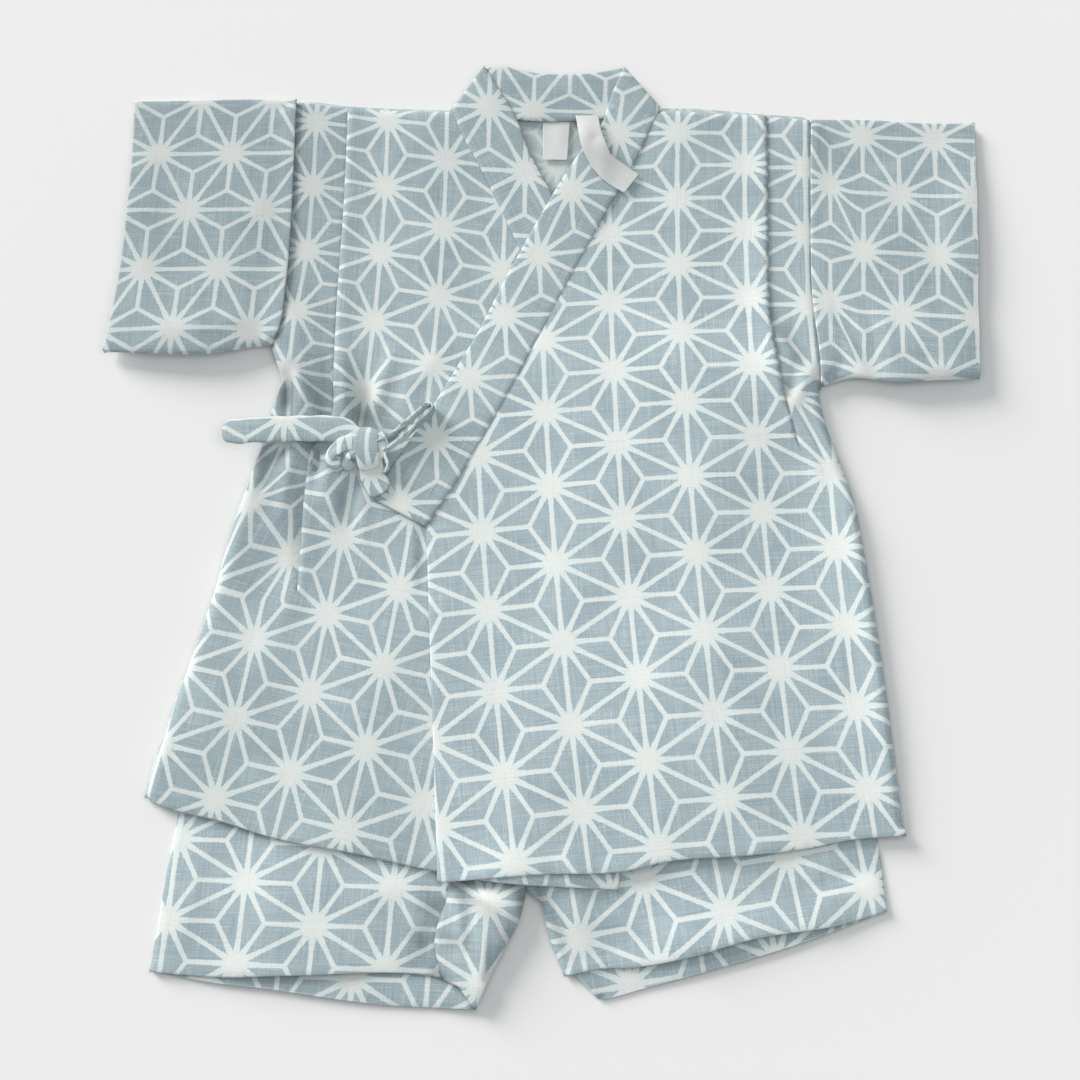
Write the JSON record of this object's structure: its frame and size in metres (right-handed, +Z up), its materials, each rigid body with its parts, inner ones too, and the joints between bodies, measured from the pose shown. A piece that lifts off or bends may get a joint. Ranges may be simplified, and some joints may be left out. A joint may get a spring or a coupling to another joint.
{
  "type": "jinbei set",
  "caption": "Small child's jinbei laid flat: short-sleeved wrap jacket tied at the side, on matching shorts, in a hemp-leaf print cotton.",
  "frame": {"origin": "middle of the laid-out set, on the surface that it lies on", "axes": "+Z up from the surface, +Y towards the neck, +X towards the wearer's left"},
  "size_m": [0.4456, 0.4696, 0.0154],
  "materials": {
    "printed_cloth": "matt slub cotton, grey-blue with an off-white hemp-leaf print",
    "tie_cloth": "the same printed cotton, sewn as a tube and pressed",
    "label_tape": "white woven tape, blank"
  },
  "bodies": {
    "root": {"shorts_back_right": "printed_cloth", "shorts_back_left": "printed_cloth", "shorts_front_right": "printed_cloth", "shorts_front_left": "printed_cloth", "jacket_back": "printed_cloth", "front_right": "printed_cloth", "front_left": "printed_cloth", "sleeve_right": "printed_cloth", "sleeve_left": "printed_cloth", "collar_neck": "printed_cloth", "collar_right": "printed_cloth", "collar_left": "printed_cloth", "tie_tail": "tie_cloth", "tie_loop": "tie_cloth", "tie_end": "tie_cloth", "tie_knot": "tie_cloth", "label_size": "label_tape", "label_care": "label_tape"}
  },
  "joints": []
}
